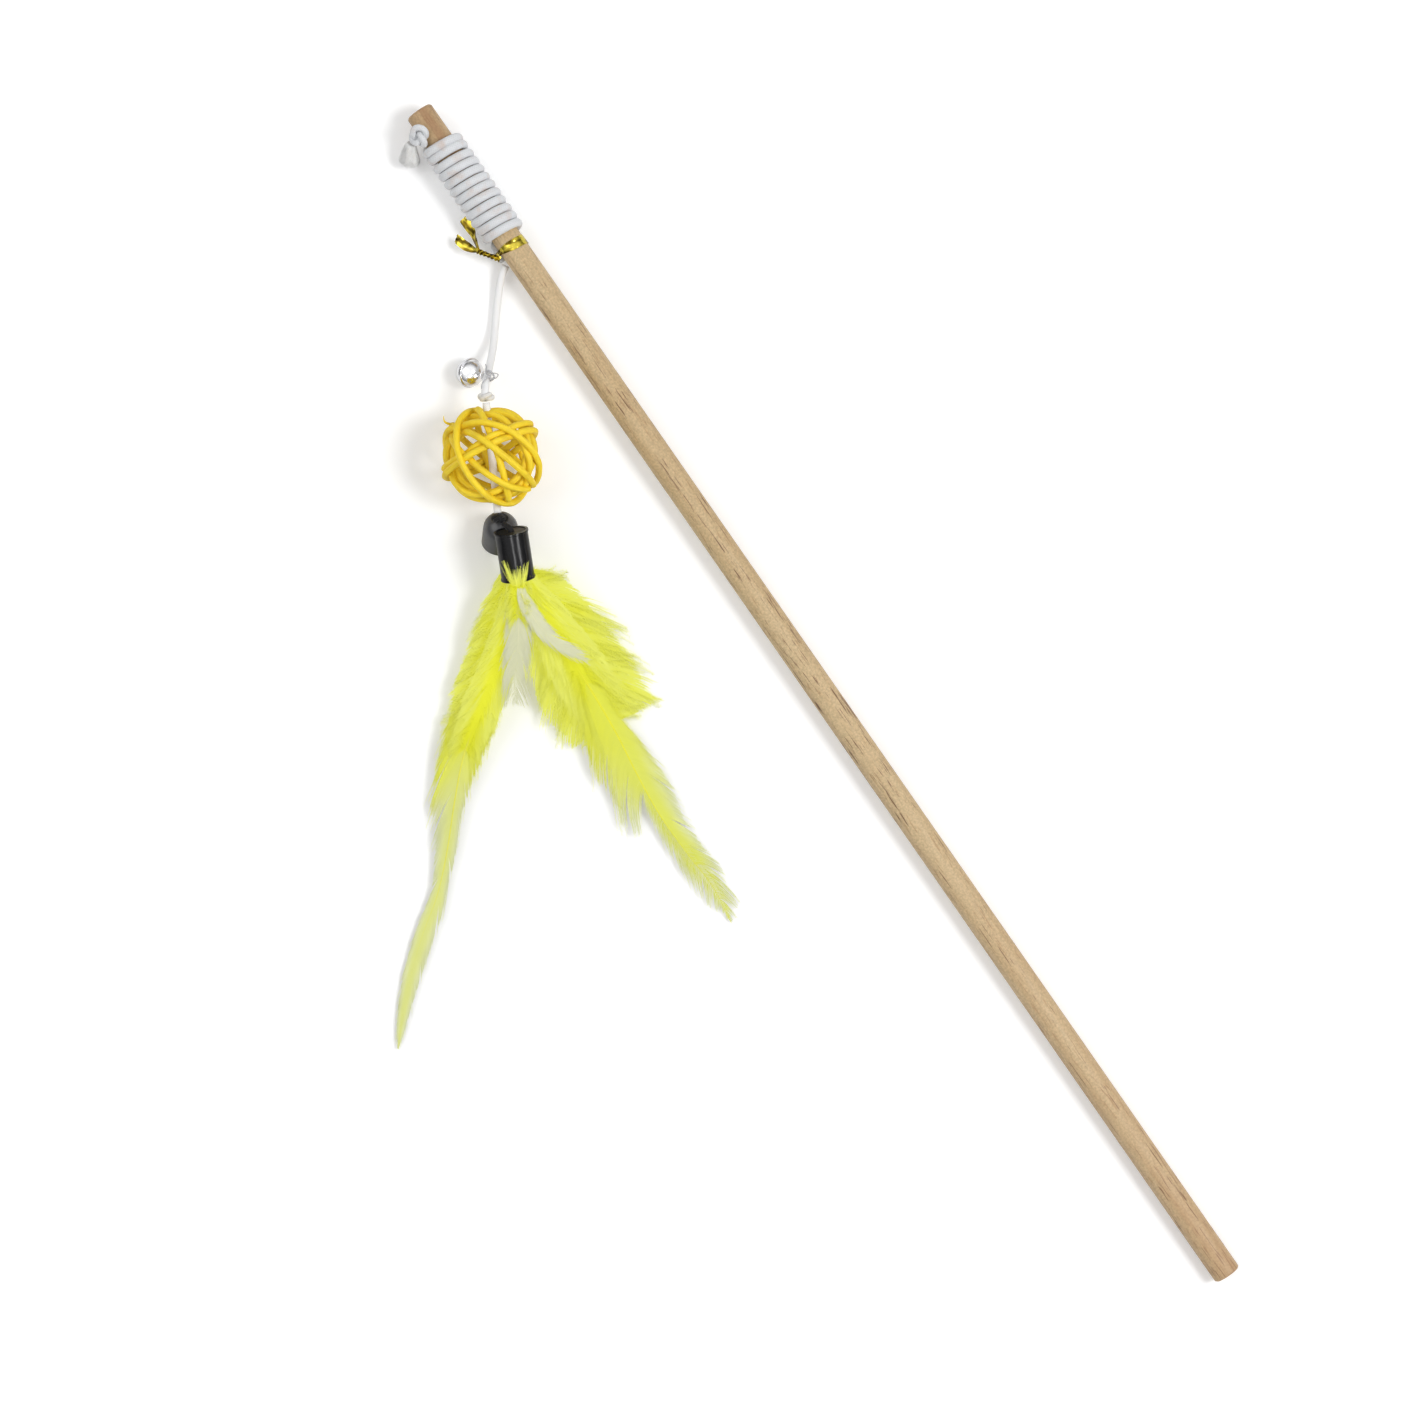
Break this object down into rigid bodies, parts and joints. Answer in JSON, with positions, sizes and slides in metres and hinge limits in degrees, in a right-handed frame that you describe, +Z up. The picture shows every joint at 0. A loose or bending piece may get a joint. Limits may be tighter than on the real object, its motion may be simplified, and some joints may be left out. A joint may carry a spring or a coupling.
{
  "type": "cat teaser wand",
  "caption": "Wooden rod with wound elastic cord carrying a bell, a woven ball and a bunch of dyed feathers, for playing with a cat.",
  "frame": {"origin": "middle of the whole toy's outline, on the plane that it lies on", "axes": "+X along the rod from the corded tip to the butt, +Y from the lure towards the rod, +Z up from the plane that the toy lies on"},
  "size_m": [0.4, 0.1632, 0.0299],
  "materials": {
    "wood": "turned, raw",
    "cord": "braided elastic cord",
    "foil": "gold-coloured paper-thin foil",
    "thread": "twisted thread",
    "bell_metal": "polished plate",
    "pellet_metal": "plain ball",
    "rattan": "dyed yellow, smooth",
    "bead_plastic": "moulded",
    "sleeve_rubber": "smooth tube",
    "glue": "hardened glue",
    "feather_yellow": "dyed feather",
    "feather_cream": "undyed feather"
  },
  "bodies": {
    "rod": {"rod": "wood", "cord_winding": "cord", "stopper_knot": "cord", "cord_tail": "cord", "tie_band": "foil", "tie_twist": "foil", "tie_tail_outer": "foil", "tie_tail_inner": "foil"},
    "lead": {"cord_lead": "cord", "bell_thread": "thread", "ball_knot": "cord", "cord_core": "cord", "end_knot": "cord"},
    "bell": {"bell_upper_shell": "bell_metal", "bell_lower_shell": "bell_metal", "bell_bail": "bell_metal"},
    "pellet": {"bell_pellet": "pellet_metal"},
    "ball": {"hoop_1": "rattan", "hoop_2": "rattan", "hoop_3": "rattan", "hoop_4_front": "rattan", "hoop_4_back": "rattan", "hoop_5_front": "rattan", "hoop_5_back": "rattan", "hoop_6_front": "rattan", "hoop_6_back": "rattan"},
    "bead": {"end_bead": "bead_plastic", "bead_cord": "cord", "bead_knot": "cord"},
    "feathers": {"feather_sleeve": "sleeve_rubber", "sleeve_plug": "glue", "sleeve_cord": "cord", "feather_left_long": "feather_yellow", "feather_right_long": "feather_yellow", "feather_left_down": "feather_yellow", "feather_right_down": "feather_yellow", "feather_left_cream": "feather_cream", "feather_right_cream": "feather_cream"}
  },
  "joints": [
    {"name": "lead_swing", "type": "hinge", "parent": "rod", "child": "lead", "pos_m": [-0.15057, 0.07061, 0.0035], "axis": [0, 0, 1], "range_deg": [-45, 5]},
    {"name": "bell_swing", "type": "hinge", "parent": "lead", "child": "bell", "pos_m": [-0.1284, 0.04766, 0.00405], "axis": [0, 0, 1], "range_deg": [-30, 45]},
    {"name": "pellet_rattle", "type": "slide", "parent": "bell", "child": "pellet", "axis": [0, 0, 1], "range_m": [0, 0.0042]},
    {"name": "ball_spin", "type": "hinge", "parent": "lead", "child": "ball", "pos_m": [-0.10767, 0.03666, 0.015], "axis": [0.8763, -0.4818, 0], "continuous": true},
    {"name": "bead_swing", "type": "hinge", "parent": "lead", "child": "bead", "pos_m": [-0.09242, 0.02828, 0.015], "axis": [0, 0, 1], "range_deg": [-25, 25]},
    {"name": "feather_swing", "type": "hinge", "parent": "lead", "child": "feathers", "pos_m": [-0.09242, 0.02828, 0.015], "axis": [0, 0, 1], "range_deg": [-35, 12]}
  ]
}
